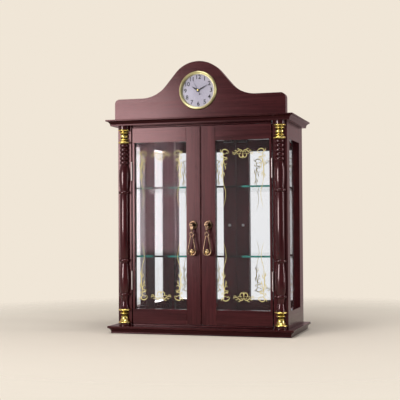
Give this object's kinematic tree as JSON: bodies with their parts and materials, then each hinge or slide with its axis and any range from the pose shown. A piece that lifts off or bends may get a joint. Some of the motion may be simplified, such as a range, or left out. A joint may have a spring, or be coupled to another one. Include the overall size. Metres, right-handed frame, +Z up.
{
  "type": "wall curio cabinet",
  "caption": "Wall-hung glazed display cabinet with drop-pull doors, turned half columns, glass shelves, a mirrored back and a clock in its arched crest.",
  "frame": {"origin": "midway between the entry holes of the two keyhole hangers, on the back plane that touches the wall", "axes": "+X to the right as seen from the front, +Y back into the wall, +Z up"},
  "size_m": [0.508, 0.246, 0.7165],
  "materials": {
    "mahogany": "dark red-brown satin lacquer",
    "back_board": "plain plywood",
    "clear_glass": "polished clear glass",
    "mirror": "silvered glass",
    "gilt": "bright gilt",
    "old_brass": "aged brass",
    "steel": "brushed",
    "black_plastic": "matt",
    "dial": "silvered satin lacquer",
    "hands": "black lacquer"
  },
  "bodies": {
    "case": {"top_board": "mahogany", "cornice_front": "mahogany", "cornice_left": "mahogany", "cornice_right": "mahogany", "bottom_board": "mahogany", "base_front": "mahogany", "base_left": "mahogany", "base_right": "mahogany", "left_front_post": "mahogany", "right_front_post": "mahogany", "left_rear_post": "mahogany", "right_rear_post": "mahogany", "left_side_rails": "mahogany", "right_side_rails": "mahogany", "crest_board": "mahogany", "left_column": "mahogany", "right_column": "mahogany", "left_side_glass": "clear_glass", "right_side_glass": "clear_glass", "upper_shelf": "clear_glass", "lower_shelf": "clear_glass", "clock_lens": "clear_glass", "back_panel": "back_board", "mirror": "mirror", "column_capitals": "gilt", "column_feet": "gilt", "clock_bezel": "gilt", "shelf_pins": "steel", "hanger_plates": "steel", "hanger_screws": "steel", "hinge_case_leaves": "steel", "hinge_pins": "steel", "door_catches": "black_plastic", "clock_housing": "black_plastic", "clock_dial": "dial", "clock_movement": "black_plastic"},
    "left_door": {"left_door_inner_stile": "mahogany", "left_door_hinge_stile": "mahogany", "left_door_top_rail": "mahogany", "left_door_bottom_rail": "mahogany", "left_door_glass": "clear_glass", "left_hinge_leaves": "steel", "left_strike_plate": "steel", "left_pull_plate": "old_brass", "left_pull_screw": "old_brass"},
    "right_door": {"right_door_inner_stile": "mahogany", "right_door_hinge_stile": "mahogany", "right_door_top_rail": "mahogany", "right_door_bottom_rail": "mahogany", "right_door_glass": "clear_glass", "right_hinge_leaves": "steel", "right_strike_plate": "steel", "right_pull_plate": "old_brass", "right_pull_screw": "old_brass"},
    "left_pull": {"left_drop_pull": "old_brass"},
    "right_pull": {"right_drop_pull": "old_brass"},
    "hour_hand_body": {"hour_hand": "hands"},
    "minute_hand_body": {"minute_hand": "hands"},
    "second_hand_body": {"second_hand": "hands"},
    "knob_body": {"setting_knob": "black_plastic"}
  },
  "joints": [
    {"name": "left_door_hinge", "type": "hinge", "parent": "case", "child": "left_door", "pos_m": [-0.1926, -0.2103, -0.233], "axis": [0, 0, -1], "range_deg": [0, 110]},
    {"name": "left_pull_swing", "type": "hinge", "parent": "left_door", "child": "left_pull", "pos_m": [-0.02075, -0.2225, -0.232], "axis": [-1, 0, 0], "range_deg": [-5, 100]},
    {"name": "right_door_hinge", "type": "hinge", "parent": "case", "child": "right_door", "pos_m": [0.1926, -0.2103, -0.233], "axis": [0, 0, 1], "range_deg": [0, 110]},
    {"name": "right_pull_swing", "type": "hinge", "parent": "right_door", "child": "right_pull", "pos_m": [0.02075, -0.2225, -0.232], "axis": [-1, 0, 0], "range_deg": [-5, 100]},
    {"name": "minute_hand_turn", "type": "hinge", "parent": "case", "child": "minute_hand_body", "pos_m": [0, -0.228, 0.12], "axis": [0, 1, 0], "continuous": true},
    {"name": "hour_hand_turn", "type": "hinge", "parent": "case", "child": "hour_hand_body", "pos_m": [0, -0.228, 0.12], "axis": [0, 1, 0], "continuous": true},
    {"name": "second_hand_turn", "type": "hinge", "parent": "case", "child": "second_hand_body", "pos_m": [0, -0.228, 0.12], "axis": [0, 1, 0], "continuous": true},
    {"name": "setting_knob_turn", "type": "hinge", "parent": "case", "child": "knob_body", "pos_m": [0, -0.203, 0.105], "axis": [0, 1, 0], "continuous": true}
  ],
  "couplings": [
    {"joint": "hour_hand_turn", "follows": "minute_hand_turn", "ratio": 0.083333},
    {"joint": "setting_knob_turn", "follows": "minute_hand_turn", "ratio": -0.33333}
  ]
}
